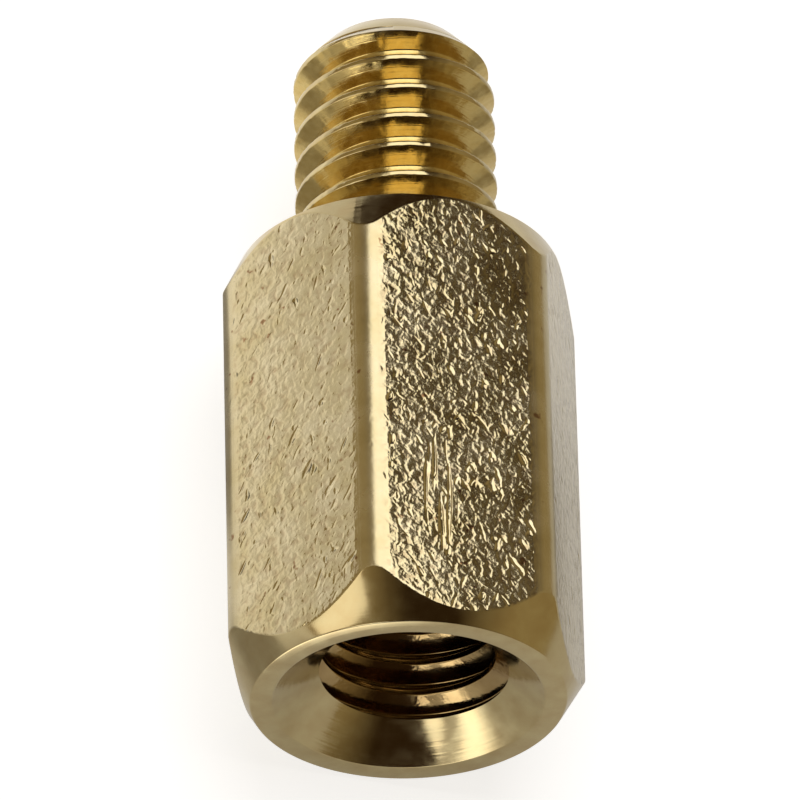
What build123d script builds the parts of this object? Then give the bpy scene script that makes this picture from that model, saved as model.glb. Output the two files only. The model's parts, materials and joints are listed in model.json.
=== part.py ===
# Hex standoff with a threaded stud at one end and a tapped hole at the other,
# turned as one piece from drawn brass hex bar. Millimetres, +Z up.
# It lies on one flat of the hex, with its axis along Y and the stud towards +Y.
import os
from math import cos, radians, sin, tan

from build123d import *

# The drawn bar and its turned ends
across_flats = 4.75
corner_radius = 0.41
body_length = 7.05

# Each end chamfer starts on a circle this far inside the flats, and its angle is measured from the end face
shoulder_inset = 0.02
shoulder_chamfer_angle = 64.5
mouth_inset = 0.115
mouth_chamfer_angle = 60

# The stud: a plain foot at the shoulder, then M3 over the crests, which taper a little to a chamfered tip
stud_length = 3.87
foot_diameter = 3
foot_length = 0.35
crest_diameter = 2.97
crest_end_diameter = 2.94
tip_diameter = 2.05
tip_chamfer_length = 0.5

# The stud's right-hand thread: its depth and the flat on its crests are shares of the pitch
thread_pitch = 0.5
thread_angle = 60
thread_depth_share = 0.58
thread_crest_share = 0.15

# How far past the shoulder a crest comes on the side of the corner at +X, and how far round from there
# the groove starts, which is where it clears the foot
first_crest_rise = 0.06
groove_start_angle = 200

# The blind hole: M3 at its crests, countersunk at the mouth, with the drill's cone at the bottom
bore_diameter = 2.5
bore_depth = 4.6
drill_point_angle = 118
countersink_diameter = 3.9
countersink_angle = 104

# How far a cut runs out past the metal, and how far the thread's cut does, short of the next turn
cut_overrun = 0.5
thread_overrun = 0.04

# Places along the axis, measured from the end face with the hole
total_length = body_length + stud_length
countersink_depth = (countersink_diameter - bore_diameter) / 2 / tan(radians(countersink_angle / 2))
drill_point_depth = bore_depth + bore_diameter / 2 / tan(radians(drill_point_angle / 2))

# Radii about the axis
flat_radius = across_flats / 2
bar_corner_reach = (flat_radius - corner_radius) / cos(radians(30)) + corner_radius
envelope_radius = bar_corner_reach + cut_overrun
shoulder_radius = flat_radius - shoulder_inset
mouth_radius = flat_radius - mouth_inset
foot_radius = foot_diameter / 2
crest_radius = crest_diameter / 2
crest_end_radius = crest_end_diameter / 2
tip_radius = tip_diameter / 2
bore_radius = bore_diameter / 2
countersink_radius = countersink_diameter / 2

# How far each chamfer's cone has come down the bar where it leaves the envelope
shoulder_cone_length = (envelope_radius - shoulder_radius) * tan(radians(shoulder_chamfer_angle))
mouth_cone_length = (envelope_radius - mouth_radius) * tan(radians(mouth_chamfer_angle))

# The thread's groove: half its width at the root and where the cut ends outside the foot
thread_slope = tan(radians(thread_angle / 2))
root_radius = crest_radius - thread_depth_share * thread_pitch
cut_radius = foot_radius + thread_overrun
crest_half_width = thread_crest_share * thread_pitch / 2
cut_half_width = thread_pitch / 2 - crest_half_width + (cut_radius - crest_radius) * thread_slope
root_half_width = cut_half_width - (cut_radius - root_radius) * thread_slope

# The stud is sunk one turn into the bar. Its foot ends in a small chamfer down to the crests.
stud_base = body_length - thread_pitch
foot_end = body_length + foot_length
thread_start = foot_end + foot_radius - crest_radius

# The groove's middle where it starts, half a turn after a crest, and where it ends past the tip
groove_start = body_length + first_crest_rise + thread_pitch / 2 + thread_pitch * groove_start_angle / 360
groove_end = total_length + thread_pitch

# The axis runs at half the height of the bar, and the part's length is centred on the origin
mouth_centre = (0, -total_length / 2, flat_radius)
turning_axis = Axis(origin=mouth_centre, direction=(0, 1, 0))

# Square to the axis at the end face, with the bar growing towards the stud
end_plane = Plane(origin=mouth_centre, x_dir=(1, 0, 0), z_dir=(0, 1, 0))

# Through the axis: local X is the radius, local Y the distance from the end face
section_plane = Plane(origin=mouth_centre, x_dir=(1, 0, 0), z_dir=(0, 0, 1))

# The same two planes, turned to where the groove starts
groove_side = (cos(radians(groove_start_angle)), 0, -sin(radians(groove_start_angle)))
groove_end_plane = Plane(origin=mouth_centre, x_dir=groove_side, z_dir=(0, 1, 0))
groove_plane = Plane(origin=mouth_centre, x_dir=groove_side, z_dir=-groove_end_plane.y_dir)

with BuildPart() as stud:
    # Turned to the size of the foot and the crests
    with BuildSketch(section_plane):
        with BuildLine():
            Polyline(
                (0, stud_base),
                (foot_radius, stud_base),
                (foot_radius, foot_end),
                (crest_radius, thread_start),
                (crest_end_radius, total_length - tip_chamfer_length),
                (tip_radius, total_length),
                (0, total_length),
                close=True,
            )
        make_face()
    revolve(axis=turning_axis)

    # Thread cut along a right-hand helix
    groove_path = groove_end_plane * Helix(
        pitch=thread_pitch,
        height=groove_end - groove_start,
        radius=crest_radius,
        center=(0, 0, groove_start),
    )
    with BuildSketch(groove_plane):
        with BuildLine():
            Polyline(
                (root_radius, groove_start - root_half_width),
                (cut_radius, groove_start - cut_half_width),
                (cut_radius, groove_start + cut_half_width),
                (root_radius, groove_start + root_half_width),
                close=True,
            )
        make_face()
    sweep(path=groove_path, is_frenet=True, mode=Mode.SUBTRACT)

with BuildPart() as hex_standoff:
    # Drawn hex bar with rounded corners, two of its flats level
    with BuildSketch(end_plane) as bar_section:
        RegularPolygon(radius=flat_radius, side_count=6, major_radius=False)
        fillet(bar_section.vertices(), radius=corner_radius)
    extrude(amount=body_length)

    # Both ends chamfered in the lathe, which leaves an arc on every flat
    with BuildSketch(section_plane):
        with BuildLine():
            Polyline(
                (0, 0),
                (mouth_radius, 0),
                (envelope_radius, mouth_cone_length),
                (envelope_radius, body_length - shoulder_cone_length),
                (shoulder_radius, body_length),
                (0, body_length),
                close=True,
            )
        make_face()
    revolve(axis=turning_axis, mode=Mode.INTERSECT)

    # The stud is one metal with the bar
    add(stud.part)

    # Blind hole with its countersink and drill point
    with BuildSketch(section_plane):
        with BuildLine():
            Polyline(
                (0, -cut_overrun),
                (countersink_radius, -cut_overrun),
                (countersink_radius, 0),
                (bore_radius, countersink_depth),
                (bore_radius, bore_depth),
                (0, drill_point_depth),
                close=True,
            )
        make_face()
    revolve(axis=turning_axis, mode=Mode.SUBTRACT)

hex_standoff.part.label = "hex_standoff"

os.makedirs("parts", exist_ok=True)
export_step(hex_standoff.part, "parts/hex_standoff.step")
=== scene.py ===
import json
from math import cos, pi, radians, tan

import bmesh
import bpy
from mathutils import Matrix, Vector, noise


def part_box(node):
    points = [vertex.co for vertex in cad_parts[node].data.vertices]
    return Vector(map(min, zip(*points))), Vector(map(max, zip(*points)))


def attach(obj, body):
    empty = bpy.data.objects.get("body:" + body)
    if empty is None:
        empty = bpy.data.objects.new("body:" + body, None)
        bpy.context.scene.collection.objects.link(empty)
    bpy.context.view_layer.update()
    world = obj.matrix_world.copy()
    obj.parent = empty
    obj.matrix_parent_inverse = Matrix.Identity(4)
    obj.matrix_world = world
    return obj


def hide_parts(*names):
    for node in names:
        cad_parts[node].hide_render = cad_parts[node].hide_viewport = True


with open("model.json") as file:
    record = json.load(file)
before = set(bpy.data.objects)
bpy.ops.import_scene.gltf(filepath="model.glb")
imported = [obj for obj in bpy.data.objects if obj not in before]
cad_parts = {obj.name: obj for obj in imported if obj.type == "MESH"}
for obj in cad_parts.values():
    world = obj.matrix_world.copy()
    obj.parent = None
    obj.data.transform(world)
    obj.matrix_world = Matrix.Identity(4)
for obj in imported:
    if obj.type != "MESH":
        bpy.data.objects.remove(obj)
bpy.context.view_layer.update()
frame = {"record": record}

# Drawn hex bar: the standoff's body, a length of brass hex bar that keeps its drawn and tumbled skin on
# the flats and the rounded corners. Both ends are chamfered in the lathe, which leaves an arc on every
# flat, and one end is faced, drilled and countersunk. Sizes are in millimetres.
mm = 0.001
low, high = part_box("hex_standoff")
mount = {row["name"]: row for row in frame["record"]["mounts"]}
mouth_y = mount["female_end_face"]["pos_m"][1]
flat_radius = (high.z - low.z) / mm / 2
corner_radius = 0.41
shoulder_at = (mount["stud_shoulder"]["pos_m"][1] - mouth_y) / mm
shoulder_inset = 0.02
shoulder_radius = flat_radius - shoulder_inset
shoulder_slope = tan(radians(64.5))
mouth_inset = 0.115
mouth_radius = flat_radius - mouth_inset
mouth_slope = tan(radians(60))
countersink_radius = 1.95
bore_radius = mount["threaded_bore"]["dims"]["r_mm"]
bore_length = mount["threaded_bore"]["dims"]["length_mm"]
bore_middle = (mount["threaded_bore"]["pos_m"][1] - mouth_y) / mm
bore_start = bore_middle - bore_length / 2
bore_end = bore_middle + bore_length / 2
drill_point_angle = 118
drill_point_at = bore_end + bore_radius / tan(radians(drill_point_angle / 2))
drill_web_radius = 0.01
arc_break = 0.03
edge_break = 0.02
steps_per_corner = 10
steps_per_flat = 30

# The finishes that the lathe leaves, as places in the standoff's list of materials
DRAWN, TURNED, CUT, TAPPED = 0, 1, 2, 3


def next_loop(mesh, loop, finish, place):
    """Grows a ring of faces from a loop of edges and moves the new loop to where place says."""
    grown = bmesh.ops.extrude_edge_only(mesh, edges=loop)["geom"]
    for part in grown:
        if isinstance(part, bmesh.types.BMVert):
            part.co = place(part.co)
        if isinstance(part, bmesh.types.BMFace):
            part.material_index = finish
    new_verts = {part for part in grown if isinstance(part, bmesh.types.BMVert)}
    return [edge for edge in mesh.edges if edge.verts[0] in new_verts and edge.verts[1] in new_verts]


def at_circle(radius, height):
    """Places a point straight out from the axis at this radius and height."""
    return lambda point: Vector((point.x, point.y, 0)).normalized() * radius + Vector((0, 0, height))


def on_shoulder_arc(point):
    """Places a point of the bar's skin where the shoulder's chamfer meets it."""
    reach = Vector((point.x, point.y)).length
    return Vector((point.x, point.y, shoulder_at - (reach - shoulder_radius) * shoulder_slope))


def on_mouth_arc(point):
    """Places a point of the bar's skin where the chamfer at the hole meets it."""
    reach = Vector((point.x, point.y)).length
    return Vector((point.x, point.y, (reach - mouth_radius) * mouth_slope))


# The bar stands on its hole's end face while it is worked, with two of its flats level once it lies down.
bar = bmesh.new()
bmesh.ops.create_circle(
    bar,
    cap_ends=True,
    segments=6,
    radius=flat_radius / cos(radians(30)),
    matrix=Matrix.Translation((0, 0, shoulder_at / 2)) @ Matrix.Rotation(radians(90), 4, "Z"),
)
bmesh.ops.bevel(
    bar,
    geom=bar.verts[:],
    offset=corner_radius * tan(radians(30)),
    offset_type="OFFSET",
    segments=steps_per_corner,
    profile=0.5,
    affect="VERTICES",
    material=-1,
)
flat_edges = [edge for edge in bar.edges if edge.calc_length() > corner_radius]
bmesh.ops.subdivide_edges(bar, edges=flat_edges, cuts=steps_per_flat - 1)
bmesh.ops.delete(bar, geom=bar.faces[:], context="FACES_ONLY")
girth = bar.edges[:]
shoulder_arc = next_loop(bar, girth, DRAWN, on_shoulder_arc)
shoulder_edge = next_loop(bar, shoulder_arc, TURNED, at_circle(shoulder_radius, shoulder_at))
bmesh.ops.contextual_create(bar, geom=shoulder_edge, mat_nr=TURNED)
mouth_arc = next_loop(bar, girth, DRAWN, on_mouth_arc)
ring_edge = next_loop(bar, mouth_arc, TURNED, at_circle(mouth_radius, 0))
countersink_edge = next_loop(bar, ring_edge, TURNED, at_circle(countersink_radius, 0))
bore_edge = next_loop(bar, countersink_edge, TURNED, at_circle(bore_radius, bore_start))
bore_bottom = next_loop(bar, bore_edge, TAPPED, at_circle(bore_radius, bore_end))
drill_web = next_loop(bar, bore_bottom, TURNED, at_circle(drill_web_radius, drill_point_at))
bmesh.ops.contextual_create(bar, geom=drill_web, mat_nr=TURNED)

# The chamfer arcs on the flats and both edges of the ring round the hole are broken, so that each catches the
# light.
for broken, width in ((shoulder_arc + mouth_arc, arc_break), (ring_edge + countersink_edge, edge_break)):
    bmesh.ops.bevel(
        bar,
        geom=broken,
        offset=width,
        offset_type="OFFSET",
        segments=3,
        profile=0.5,
        affect="EDGES",
        material=-1,
    )
bmesh.ops.recalc_face_normals(bar, faces=bar.faces[:])

# Threaded stud: turned on the end of the bar and cut with an M3 die, right-handed. Its thread runs out
# into a plain foot at the shoulder, its crests taper a little and carry the die's burrs, and its tip is
# chamfered.
tip_at = (high.y - mouth_y) / mm
foot_radius = mount["stud_foot"]["dims"]["r_mm"]
foot_end = shoulder_at + mount["stud_foot"]["dims"]["length_mm"]
crest_radius = mount["stud_thread"]["dims"]["r_mm"]
crest_end_radius = 1.47
tip_radius = 1.025
tip_chamfer_length = 0.5
tip_chamfer_at = tip_at - tip_chamfer_length
pitch = 0.5
thread_depth = 0.29
crest_width = 0.075
flank_width = thread_depth * tan(radians(30))
crest_rounding = 0.018
first_crest_rise = 0.06
burr_height = 0.012
burr_length = 0.09
fine_burr_share = 0.6
fine_burr_scale = 2.3
turns_sunk = 3
stud_turns = 12
steps_per_turn = 200
weld = 0.0001


def helix(radius, crest_at, turns, flank_finish, crest_finish):
    """A threaded rod this large over its crests, with a crest at this height on the side of local +X."""
    rod = bmesh.new()
    root_radius = radius - thread_depth
    half_crest = crest_width / 2
    form = [
        (root_radius, crest_at - pitch / 2),
        (root_radius, crest_at - half_crest - flank_width),
        (radius, crest_at - half_crest),
        (radius, crest_at + half_crest),
        (root_radius, crest_at + half_crest + flank_width),
        (root_radius, crest_at + pitch / 2),
    ]
    line = [rod.verts.new((reach, 0, height)) for reach, height in form]
    for pair in zip(line, line[1:]):
        rod.edges.new(pair)
    bmesh.ops.bevel(
        rod,
        geom=line[1:-1],
        offset=crest_rounding,
        offset_type="OFFSET",
        segments=3,
        profile=0.5,
        affect="VERTICES",
        material=-1,
    )
    bmesh.ops.spin(
        rod,
        geom=rod.verts[:] + rod.edges[:],
        cent=(0, 0, 0),
        axis=(0, 0, 1),
        dvec=(0, 0, pitch / steps_per_turn),
        angle=2 * pi,
        steps=steps_per_turn,
    )
    one_turn = rod.verts[:] + rod.edges[:] + rod.faces[:]
    for turn in range(1, turns):
        copy = bmesh.ops.duplicate(rod, geom=one_turn)["geom"]
        moved = [part for part in copy if isinstance(part, bmesh.types.BMVert)]
        bmesh.ops.translate(rod, verts=moved, vec=(0, 0, turn * pitch))
    bmesh.ops.remove_doubles(rod, verts=rod.verts[:], dist=weld)
    for face in rod.faces:
        centre = face.calc_center_median()
        on_crest = Vector((centre.x, centre.y)).length > radius - crest_rounding / 2
        face.material_index = crest_finish if on_crest else flank_finish
    return rod


def cut_to_length(rod, start, end):
    """Cuts a threaded rod square at both ends and closes it."""
    for height, side in ((start, -1), (end, 1)):
        cut = bmesh.ops.bisect_plane(
            rod,
            geom=rod.verts[:] + rod.edges[:] + rod.faces[:],
            plane_co=(0, 0, height),
            plane_no=(0, 0, side),
            clear_outer=True,
        )["geom_cut"]
        rim = [part for part in cut if isinstance(part, bmesh.types.BMEdge)]
        bmesh.ops.contextual_create(rod, geom=rim)
    bmesh.ops.recalc_face_normals(rod, faces=rod.faces[:])


def turned(outline, rounding=0):
    """A solid turned from an outline of radii and heights that starts and ends on the axis."""
    shape = bmesh.new()
    line = [shape.verts.new((radius, 0, height)) for radius, height in outline]
    for pair in zip(line, line[1:]):
        shape.edges.new(pair)
    if rounding:
        bmesh.ops.bevel(
            shape,
            geom=line[1:-1],
            offset=rounding,
            offset_type="OFFSET",
            segments=4,
            profile=0.5,
            affect="VERTICES",
            material=-1,
        )
    bmesh.ops.spin(
        shape,
        geom=shape.verts[:] + shape.edges[:],
        cent=(0, 0, 0),
        axis=(0, 0, 1),
        angle=2 * pi,
        steps=steps_per_turn,
        use_merge=True,
    )
    bmesh.ops.remove_doubles(shape, verts=shape.verts[:], dist=weld)
    for face in shape.faces:
        face.material_index = TURNED
    bmesh.ops.recalc_face_normals(shape, faces=shape.faces[:])
    return shape


stud = helix(crest_radius, shoulder_at + first_crest_rise - turns_sunk * pitch, stud_turns, CUT, TURNED)
crest_taper = (crest_radius - crest_end_radius) / crest_radius / (tip_chamfer_at - foot_end)
for vert in stud.verts:
    reach = Vector((vert.co.x, vert.co.y)).length
    if reach > crest_radius - crest_rounding:
        along_crest = vert.co / burr_length
        burr = noise.noise(along_crest) + fine_burr_share * noise.noise(along_crest * fine_burr_scale)
        reach_now = reach - burr_height * max(0, burr)
        vert.co.x *= reach_now / reach
        vert.co.y *= reach_now / reach
    shrink = 1 - crest_taper * max(0, vert.co.z - foot_end)
    vert.co.x *= shrink
    vert.co.y *= shrink
cut_to_length(stud, shoulder_at - pitch, tip_at + pitch / 4)
blank_radius = crest_radius + pitch
chamfer_slope = tip_chamfer_length / (crest_end_radius - tip_radius)
lead_gap = 0.006
lead_length = 0.36
lead_rounding = 0.06
blank_end = tip_at - lead_gap * chamfer_slope
tip_blank = turned(
    [
        (0, shoulder_at - 2 * pitch),
        (blank_radius, shoulder_at - 2 * pitch),
        (blank_radius, blank_end - (blank_radius - tip_radius) * chamfer_slope),
        (tip_radius, blank_end),
        (0, blank_end),
    ],
)
tip_lead = turned(
    [
        (0, tip_at - lead_length),
        (tip_radius + lead_length / chamfer_slope, tip_at - lead_length),
        (tip_radius, tip_at),
        (0, tip_at),
    ],
    lead_rounding,
)
run_out_radius = crest_radius - thread_depth - crest_rounding
foot = turned(
    [
        (0, shoulder_at - pitch / 2),
        (foot_radius, shoulder_at - pitch / 2),
        (foot_radius, foot_end),
        (run_out_radius, foot_end + foot_radius - run_out_radius),
        (0, foot_end + foot_radius - run_out_radius),
    ],
)

# Tapped hole: an M3 tap run into the drilled hole, right-handed, to half a millimetre short of its end.
# The tap has cut its first turn through the wall of the countersink.
first_groove_rise = 0.013
tap_turns = 13
tap_radius = bore_radius + thread_depth
tap = helix(tap_radius, first_groove_rise - turns_sunk * pitch, tap_turns, TAPPED, TAPPED)
cut_to_length(tap, -pitch, bore_end - pitch)


# Brass as three tools leave it. All of it is one pale metal, about two parts copper to one of zinc, and what
# differs is how it was worked: drawn and tumbled, turned, or cut with a die and a tap. The tapped wall's
# darker tint is painted shade.
def linear(code):
    """An sRGB hex colour as the linear values that a shader takes."""
    parts = [int(code[place:place + 2], 16) / 255 for place in (1, 3, 5)]
    light = [part / 12.92 if part <= 0.04045 else ((part + 0.055) / 1.055) ** 2.4 for part in parts]
    return (*light, 1)


def add(tree, kind, inputs, **settings):
    """Adds a node with its settings, and links each input or sets its value."""
    node = tree.nodes.new(kind)
    for name, value in settings.items():
        setattr(node, name, value)
    for socket, source in inputs.items():
        if isinstance(source, bpy.types.NodeSocket):
            tree.links.new(source, node.inputs[socket])
        else:
            node.inputs[socket].default_value = source
    return node


def brass(name):
    """A new metal, with its nodes, its shader, the place on the standoff and the distance from its axis."""
    metal = bpy.data.materials.new(name)
    metal.use_nodes = True
    tree = metal.node_tree
    shader = tree.nodes["Principled BSDF"]
    shader.inputs["Metallic"].default_value = 1
    place = add(tree, "ShaderNodeTexCoord", {}).outputs["Object"]
    about_axis = add(
        tree,
        "ShaderNodeMapping",
        {"Vector": place, "Location": (0, 0, -flat_radius * mm), "Scale": (1, 0, 1)},
    )
    reach = add(tree, "ShaderNodeVectorMath", {0: about_axis.outputs["Vector"]}, operation="LENGTH")
    return metal, tree, shader, place, reach.outputs["Value"]


def vary(tree, pattern, shades, sheens):
    """Lets a pattern move the metal between two shades, and between two values of roughness."""
    tint = add(tree, "ShaderNodeValToRGB", {"Fac": pattern})
    for stop, position, shade in zip(tint.color_ramp.elements, (0.3, 0.7), shades):
        stop.position = position
        stop.color = linear(shade)
    gloss = add(
        tree,
        "ShaderNodeMapRange",
        {"Value": pattern, "From Min": 0.3, "From Max": 0.7, "To Min": sheens[0], "To Max": sheens[1]},
    )
    return tint.outputs["Color"], gloss.outputs["Result"]


# Drawn and tumbled skin: satin, dented all over by other parts in the barrel, with brown tarnish in the
# dents, a few stains and some gouges along the top flat. The dents and short strokes turn the light, so a
# flat sparkles where it faces the edge of a lamp, and the corners are rubbed smooth.
drawn_brass, tree, shader, place, reach = brass("drawn_and_tumbled_brass")
dent_size = 0.115 * mm
dent_depth = 0.0122 * mm
grain_size = 0.04 * mm
grain_share = 0.1
stroke_size = (0.36 * mm, 0.13 * mm, 0.13 * mm)
stroke_share = 1.4
stroke_ways = ((0.29, 0.81, 0.50), (-0.5, 0.8, 0.33))
gouge_size = (0.09 * mm, 1.1 * mm, 0.5 * mm)
gouge_share = 1.6
gouged_at = (-0.3 * mm, -3.4 * mm, 2 * flat_radius * mm)
gouged_reach = (0.28 * mm, 1.0 * mm, 0.3 * mm)
flat_until = 2.61 * mm
corner_from = 2.645 * mm
dents = add(
    tree,
    "ShaderNodeTexNoise",
    {"Vector": place, "Scale": 1 / dent_size, "Detail": 1.5, "Roughness": 0.45, "Distortion": 0.4},
)
grain = add(tree, "ShaderNodeTexNoise", {"Vector": place, "Scale": 1 / grain_size, "Detail": 1.0})
relief = add(
    tree,
    "ShaderNodeMath",
    {0: grain.outputs["Fac"], 1: grain_share, 2: dents.outputs["Fac"]},
    operation="MULTIPLY_ADD",
)
for way in stroke_ways:
    turn = Vector(way).to_track_quat("X", "Z").to_euler()
    lined_up = add(
        tree,
        "ShaderNodeMapping",
        {"Vector": place, "Rotation": turn, "Scale": stroke_size},
        vector_type="TEXTURE",
    )
    knocks = add(
        tree,
        "ShaderNodeTexNoise",
        {"Vector": lined_up.outputs["Vector"], "Scale": 1.0, "Detail": 0.5},
    )
    stroke = add(
        tree,
        "ShaderNodeMapRange",
        {
            "Value": knocks.outputs["Fac"],
            "From Min": 0.67,
            "From Max": 0.87,
            "To Min": 0.0,
            "To Max": -stroke_share,
        },
        interpolation_type="SMOOTHSTEP",
    )
    relief = add(
        tree,
        "ShaderNodeMath",
        {0: relief.outputs["Value"], 1: stroke.outputs["Result"]},
        operation="ADD",
    )
gouges = add(
    tree,
    "ShaderNodeMapping",
    {"Vector": place, "Location": gouged_at, "Scale": gouge_size},
    vector_type="TEXTURE",
)
scored = add(tree, "ShaderNodeTexNoise", {"Vector": gouges.outputs["Vector"], "Scale": 1.0, "Detail": 0.5})
gouged_area = add(
    tree,
    "ShaderNodeMapping",
    {"Vector": place, "Location": gouged_at, "Scale": gouged_reach},
    vector_type="TEXTURE",
)
from_gouges = add(tree, "ShaderNodeVectorMath", {0: gouged_area.outputs["Vector"]}, operation="LENGTH")
among_gouges = add(
    tree,
    "ShaderNodeMapRange",
    {"Value": from_gouges.outputs["Value"], "From Min": 0.6, "From Max": 1.0, "To Min": 1.0, "To Max": 0.0},
)
score = add(
    tree,
    "ShaderNodeMapRange",
    {"Value": scored.outputs["Fac"], "From Min": 0.5, "From Max": 0.7, "To Min": 0.0, "To Max": -gouge_share},
    interpolation_type="SMOOTHSTEP",
)
relief = add(
    tree,
    "ShaderNodeMath",
    {0: score.outputs["Result"], 1: among_gouges.outputs["Result"], 2: relief.outputs["Value"]},
    operation="MULTIPLY_ADD",
)
on_flat = add(
    tree,
    "ShaderNodeMapRange",
    {"Value": reach, "From Min": flat_until, "From Max": corner_from, "To Min": 1.0, "To Max": 0.12},
)
relief = add(
    tree,
    "ShaderNodeMath",
    {0: relief.outputs["Value"], 1: on_flat.outputs["Result"]},
    operation="MULTIPLY",
)
skin = add(
    tree,
    "ShaderNodeBump",
    {"Strength": 1.0, "Distance": dent_depth, "Height": relief.outputs["Value"]},
)
cloud_size = 0.5 * mm
clouds = add(tree, "ShaderNodeTexNoise", {"Vector": place, "Scale": 1 / cloud_size, "Detail": 3.0})
tint, gloss = vary(tree, clouds.outputs["Fac"], ("#BAAA80", "#C9BB97"), (0.12, 0.18))
speck_size = 0.2 * mm
specks = add(tree, "ShaderNodeTexNoise", {"Vector": place, "Scale": 1 / speck_size, "Detail": 2.0})
rust = add(
    tree,
    "ShaderNodeMapRange",
    {"Value": specks.outputs["Fac"], "From Min": 0.69, "From Max": 0.75, "To Min": 0.0, "To Max": 0.8},
)
tarnish = add(
    tree,
    "ShaderNodeMapRange",
    {"Value": dents.outputs["Fac"], "From Min": 0.3, "From Max": 0.5, "To Min": 0.28, "To Max": 0.0},
)
kept_tarnish = add(
    tree,
    "ShaderNodeMath",
    {0: tarnish.outputs["Result"], 1: on_flat.outputs["Result"]},
    operation="MULTIPLY",
)
stain = add(
    tree,
    "ShaderNodeMath",
    {0: rust.outputs["Result"], 1: kept_tarnish.outputs["Value"]},
    operation="MAXIMUM",
)
stained = add(
    tree,
    "ShaderNodeMix",
    {"Factor": stain.outputs["Value"], 6: tint, 7: linear("#7E5430")},
    data_type="RGBA",
)
rubbed = add(
    tree,
    "ShaderNodeMapRange",
    {"Value": reach, "From Min": flat_until, "From Max": corner_from, "To Min": 0.0, "To Max": 0.11},
)
dulled = add(tree, "ShaderNodeMath", {0: gloss, 1: rubbed.outputs["Result"]}, operation="ADD")
tree.links.new(stained.outputs[2], shader.inputs["Base Color"])
tree.links.new(dulled.outputs["Value"], shader.inputs["Roughness"])
tree.links.new(skin.outputs["Normal"], shader.inputs["Normal"])

# Turned faces: the chamfers, the end faces, the countersink and the stud's crests and tip. They are bright
# and slightly clouded, with the tool's fine rings around the axis.
turned_brass, tree, shader, place, reach = brass("turned_brass")
ring_spacing = 0.05 * mm
ring_depth = 0.0008 * mm
cloud_size = 0.3 * mm
rings = add(
    tree,
    "ShaderNodeTexNoise",
    {"W": reach, "Scale": 1 / ring_spacing, "Detail": 2.0},
    noise_dimensions="1D",
)
tool_marks = add(
    tree,
    "ShaderNodeBump",
    {"Strength": 1.0, "Distance": ring_depth, "Height": rings.outputs["Fac"]},
)
clouds = add(tree, "ShaderNodeTexNoise", {"Vector": place, "Scale": 1 / cloud_size, "Detail": 3.0})
tint, gloss = vary(tree, clouds.outputs["Fac"], ("#B8A478", "#C4B488"), (0.1, 0.2))
tree.links.new(tint, shader.inputs["Base Color"])
tree.links.new(gloss, shader.inputs["Roughness"])
tree.links.new(tool_marks.outputs["Normal"], shader.inputs["Normal"])

# Die-cut thread: yellower, as fresh metal is, with drag lines along the flanks and small tears. Light that
# goes from flank to flank comes out as gold.
cut_brass, tree, shader, place, reach = brass("die_cut_brass_thread")
drag_spacing = 0.03 * mm
drag_share = 0.5
tear_size = 0.12 * mm
tear_depth = 0.003 * mm
drag = add(
    tree,
    "ShaderNodeTexNoise",
    {"W": reach, "Scale": 1 / drag_spacing, "Detail": 2.0},
    noise_dimensions="1D",
)
tears = add(tree, "ShaderNodeTexNoise", {"Vector": place, "Scale": 1 / tear_size, "Detail": 3.0})
relief = add(
    tree,
    "ShaderNodeMath",
    {0: drag.outputs["Fac"], 1: drag_share, 2: tears.outputs["Fac"]},
    operation="MULTIPLY_ADD",
)
drag_lines = add(
    tree,
    "ShaderNodeBump",
    {"Strength": 1.0, "Distance": tear_depth, "Height": relief.outputs["Value"]},
)
tint, gloss = vary(tree, tears.outputs["Fac"], ("#C2A766", "#D0B878"), (0.12, 0.24))
tree.links.new(tint, shader.inputs["Base Color"])
tree.links.new(gloss, shader.inputs["Roughness"])
tree.links.new(drag_lines.outputs["Normal"], shader.inputs["Normal"])

# Tapped wall: the same metal, bright where light gets in, with the tap's chatter. Its two shades are darker
# and browner than the turned faces' as painted shade for the inside of the blind hole, mottled at random.
tapped_brass, tree, shader, place, _ = brass("painted_shade_tapped_brass")
painted_shade_mottle_size = 0.4 * mm
chatter_size = 0.1 * mm
chatter_depth = 0.003 * mm
painted_shade_mottle = add(tree, "ShaderNodeTexNoise", {"Vector": place, "Scale": 1 / painted_shade_mottle_size, "Detail": 3.0})
chatter = add(tree, "ShaderNodeTexNoise", {"Vector": place, "Scale": 1 / chatter_size, "Detail": 2.0})
torn = add(
    tree,
    "ShaderNodeBump",
    {"Strength": 1.0, "Distance": chatter_depth, "Height": chatter.outputs["Fac"]},
)
# Painted shade: these darker shades stand in for the dimness deep in the hole.
tint, gloss = vary(tree, painted_shade_mottle.outputs["Fac"], ("#9A8056", "#B29A6C"), (0.08, 0.16))
tree.links.new(tint, shader.inputs["Base Color"])
tree.links.new(gloss, shader.inputs["Roughness"])
tree.links.new(torn.outputs["Normal"], shader.inputs["Normal"])

# The standoff: the bar, the stud and the hole are one piece of metal, so they are joined into one mesh.
# It is then laid down on one flat, with its axis along Y and the stud towards +Y, as it comes to rest.
finishes = [drawn_brass, turned_brass, cut_brass, tapped_brass]
joint_weld = 0.00002


def as_object(name, mesh):
    """Puts a worked shape into the scene, with the list of finishes."""
    data = bpy.data.meshes.new(name)
    mesh.to_mesh(data)
    mesh.free()
    for finish in finishes:
        data.materials.append(finish)
    piece = bpy.data.objects.new(name, data)
    bpy.context.scene.collection.objects.link(piece)
    return piece


def machine(work, tool, operation):
    """Joins a shape to the work, or cuts the work with it, and takes the tool away."""
    step = work.modifiers.new("machining", "BOOLEAN")
    step.object = tool
    step.operation = operation
    step.solver = "EXACT"
    step.material_mode = "INDEX"
    seen = work.evaluated_get(bpy.context.evaluated_depsgraph_get())
    done = bpy.data.meshes.new_from_object(seen)
    work.modifiers.clear()
    work.data = done
    bpy.data.objects.remove(tool)


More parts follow.
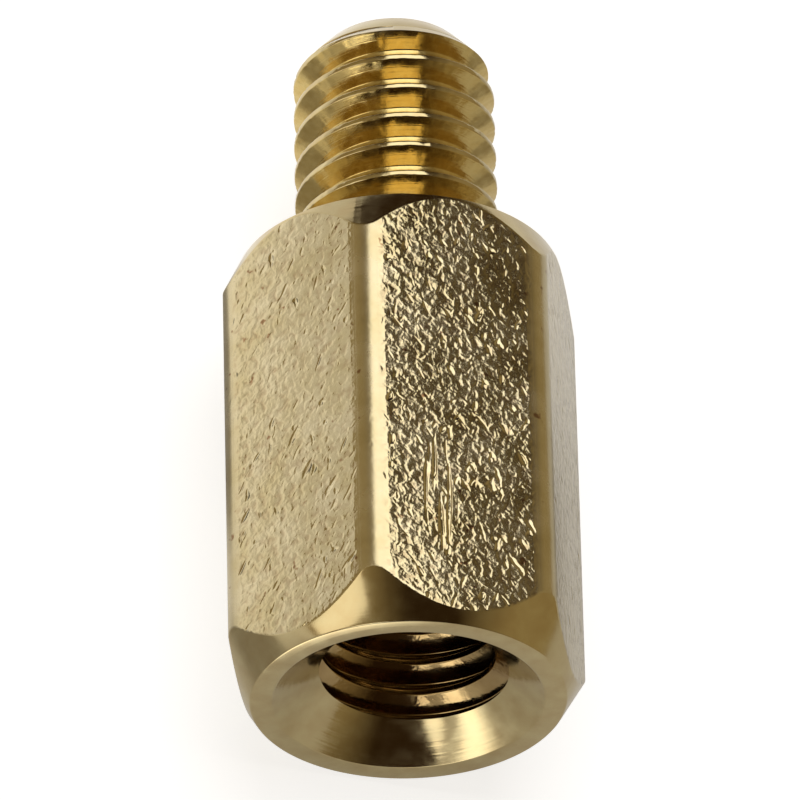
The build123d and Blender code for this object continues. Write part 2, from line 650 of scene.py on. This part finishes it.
stud_work = as_object("stud", stud)
machine(stud_work, as_object("tip_blank", tip_blank), "INTERSECT")
machine(stud_work, as_object("tip_lead", tip_lead), "UNION")
machine(stud_work, as_object("foot", foot), "UNION")
standoff = as_object("standoff", bar)
machine(standoff, as_object("tap", tap), "DIFFERENCE")
machine(standoff, stud_work, "UNION")

body = bmesh.new()
body.from_mesh(standoff.data)
bmesh.ops.remove_doubles(body, verts=body.verts[:], dist=joint_weld)
bmesh.ops.dissolve_degenerate(body, dist=joint_weld, edges=body.edges[:])
lay_down = (
    Matrix.Translation((0, mouth_y, flat_radius * mm))
    @ Matrix.Rotation(radians(-90), 4, "X")
    @ Matrix.Scale(mm, 4)
)
bmesh.ops.transform(body, matrix=lay_down, verts=body.verts[:])
for face in body.faces:
    face.smooth = True
body.to_mesh(standoff.data)
body.free()
sharp_from = radians(30)
standoff.data.set_sharp_from_angle(angle=sharp_from)
even = standoff.modifiers.new("even_normals", "WEIGHTED_NORMAL")
even.keep_sharp = True
even.weight = 100
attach(standoff, "root")
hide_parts("hex_standoff")

# Paper floor: a wide sheet of matt white paper that the standoff lies on. It is seen as clean white and keeps
# the standoff's soft shadow. In the brass it is mirrored with painted light and shade: brighter towards the
# far left, with soft painted patches of shade and of light.
paper_half_width = 1.0
sheet = bmesh.new()
bmesh.ops.create_grid(sheet, x_segments=1, y_segments=1, size=paper_half_width)
paper_mesh = bpy.data.meshes.new("paper_floor")
sheet.to_mesh(paper_mesh)
sheet.free()
paper = bpy.data.objects.new("paper_floor", paper_mesh)
bpy.context.scene.collection.objects.link(paper)
white_paper = bpy.data.materials.new("matt_white_paper")
white_paper.use_nodes = True
tree = white_paper.node_tree
shader = tree.nodes["Principled BSDF"]
shader.inputs["Base Color"].default_value = linear("#C8C8C8")
shader.inputs["Roughness"].default_value = 1
shader.inputs["Specular IOR Level"].default_value = 0
shader.inputs["Emission Color"].default_value = linear("#FFFFFF")
ray = add(tree, "ShaderNodeLightPath", {})
mirrored = add(
    tree,
    "ShaderNodeMath",
    {0: ray.outputs["Is Glossy Ray"], 1: ray.outputs["Is Transmission Ray"]},
    operation="MAXIMUM",
)
on_paper = add(tree, "ShaderNodeTexCoord", {}).outputs["Object"]
# Painted light: for mirrored rays the paper's glow is painted brighter towards the far left; the camera
# doesn't see it.
far_left = (-0.6, 0.8, 0)
painted_light_side = add(tree, "ShaderNodeVectorMath", {0: on_paper, 1: far_left}, operation="DOT_PRODUCT")
painted_light = add(
    tree,
    "ShaderNodeMapRange",
    {
        "Value": painted_light_side.outputs["Value"],
        "From Min": -4 * mm,
        "From Max": 8 * mm,
        "To Min": 0.24,
        "To Max": 0.52,
    },
)
painted_light_share = painted_light.outputs["Result"]

# Each painted patch of shade or of light in the mirrored glow: its middle, how far from there it is even and
# where it ends, and its brightness
painted_patches = (
    ((-3.6 * mm, 0.8 * mm, 0), 1.8 * mm, 3.4 * mm, 0.0),
    ((8.5 * mm, 0.5 * mm, 0), 2 * mm, 3.6 * mm, 0.0),
    ((-6.5 * mm, -6.5 * mm, 0), 2.5 * mm, 4.6 * mm, 0.0),
    ((-8 * mm, 3.5 * mm, 0), 1 * mm, 18 * mm, 1.9),
    ((-2 * mm, -11.5 * mm, 0), 2.3 * mm, 4.2 * mm, 9.0),
)
for middle, even_until, ends_at, brightness in painted_patches:
    from_middle = add(tree, "ShaderNodeVectorMath", {0: on_paper, 1: middle}, operation="DISTANCE")
    painted_patch = add(
        tree,
        "ShaderNodeMapRange",
        {
            "Value": from_middle.outputs["Value"],
            "From Min": even_until,
            "From Max": ends_at,
            "To Min": brightness,
            "To Max": 1.0,
        },
        interpolation_type="SMOOTHSTEP",
    )
    painted_light = add(tree, "ShaderNodeMath", {0: painted_light_share, 1: painted_patch.outputs["Result"]}, operation="MULTIPLY")
    painted_light_share = painted_light.outputs["Value"]
# Painted shade and light, seen only in the brass: this glow is given to glossy and transmission rays alone.
painted_mirrored_glow = add(
    tree,
    "ShaderNodeMath",
    {0: mirrored.outputs["Value"], 1: painted_light_share},
    operation="MULTIPLY",
)
seen_glow = 0.75
paper_glow = add(
    tree,
    "ShaderNodeMath",
    {0: ray.outputs["Is Camera Ray"], 1: seen_glow, 2: painted_mirrored_glow.outputs["Value"]},
    operation="MULTIPLY_ADD",
)
tree.links.new(paper_glow.outputs["Value"], shader.inputs["Emission Strength"])
paper_mesh.materials.append(white_paper)


# Studio light: a wide softbox overhead, hung over the stud's end, a smaller one low at the left of the
# hole's end and a third low in front of the hole, in a dim brown room with pale warm walls to the left and
# right. A lamp's strength is given as the brightness of its face, where 1 is white.
def softbox(name, centre, facing, width, depth, brightness):
    """Hangs a rectangular lamp here, square to the direction from which it lights the standoff."""
    data = bpy.data.lights.new(name, "AREA")
    data.shape = "RECTANGLE"
    data.size = width
    data.size_y = depth
    data.energy = brightness * pi * width * depth
    lamp = bpy.data.objects.new(name, data)
    turn = Vector(facing).to_track_quat("Z", "Y").to_matrix().to_4x4()
    lamp.matrix_world = Matrix.Translation(centre) @ turn
    lamp.visible_camera = False
    bpy.context.scene.collection.objects.link(lamp)


softbox("overhead_softbox", (-0.07, 0.275, 0.5), (0, 0, 1), 0.42, 0.65, 2.1)
softbox("side_softbox", (-0.415, -0.225, 0.165), (-0.83, -0.45, 0.33), 0.22, 0.28, 1.3)
softbox("front_softbox", (-0.19, -0.45, 0.085), (-0.38, -0.9, 0.17), 0.15, 0.15, 2.1)
room = bpy.data.worlds.new("dim_room")
room.use_nodes = True
tree = room.node_tree
sky = tree.nodes["Background"]
towards = add(tree, "ShaderNodeTexCoord", {}).outputs["Generated"]
across = add(tree, "ShaderNodeSeparateXYZ", {"Vector": towards})
sideways = add(tree, "ShaderNodeMath", {0: across.outputs["X"]}, operation="ABSOLUTE")
walls = add(tree, "ShaderNodeValToRGB", {"Fac": sideways.outputs["Value"]})
walls.color_ramp.elements[0].position = 0.25
walls.color_ramp.elements[0].color = linear("#362818")
walls.color_ramp.elements[1].position = 0.75
walls.color_ramp.elements[1].color = linear("#AA9A76")
tree.links.new(walls.outputs["Color"], sky.inputs["Color"])
bpy.context.scene.world = room

# Camera: a long lens that looks down on the standoff from beyond its hole, turned so that the axis is
# upright in the frame.
aim = Vector((0.027, -0.377, 2.254)) * mm
away = Vector((-0.2919, -0.51675, 0.80484)).normalized()
distance = 185.05 * mm
roll = radians(33.67)
camera_data = bpy.data.cameras.new("camera")
camera_data.lens = 576
camera_data.sensor_width = 36
camera_data.clip_start = 0.001
camera = bpy.data.objects.new("camera", camera_data)
facing = away.to_track_quat("Z", "Y").to_matrix().to_4x4() @ Matrix.Rotation(roll, 4, "Z")
camera.matrix_world = Matrix.Translation(aim + away * distance) @ facing
bpy.context.scene.collection.objects.link(camera)
bpy.context.scene.camera = camera
bpy.context.scene.view_settings.view_transform = "Standard"
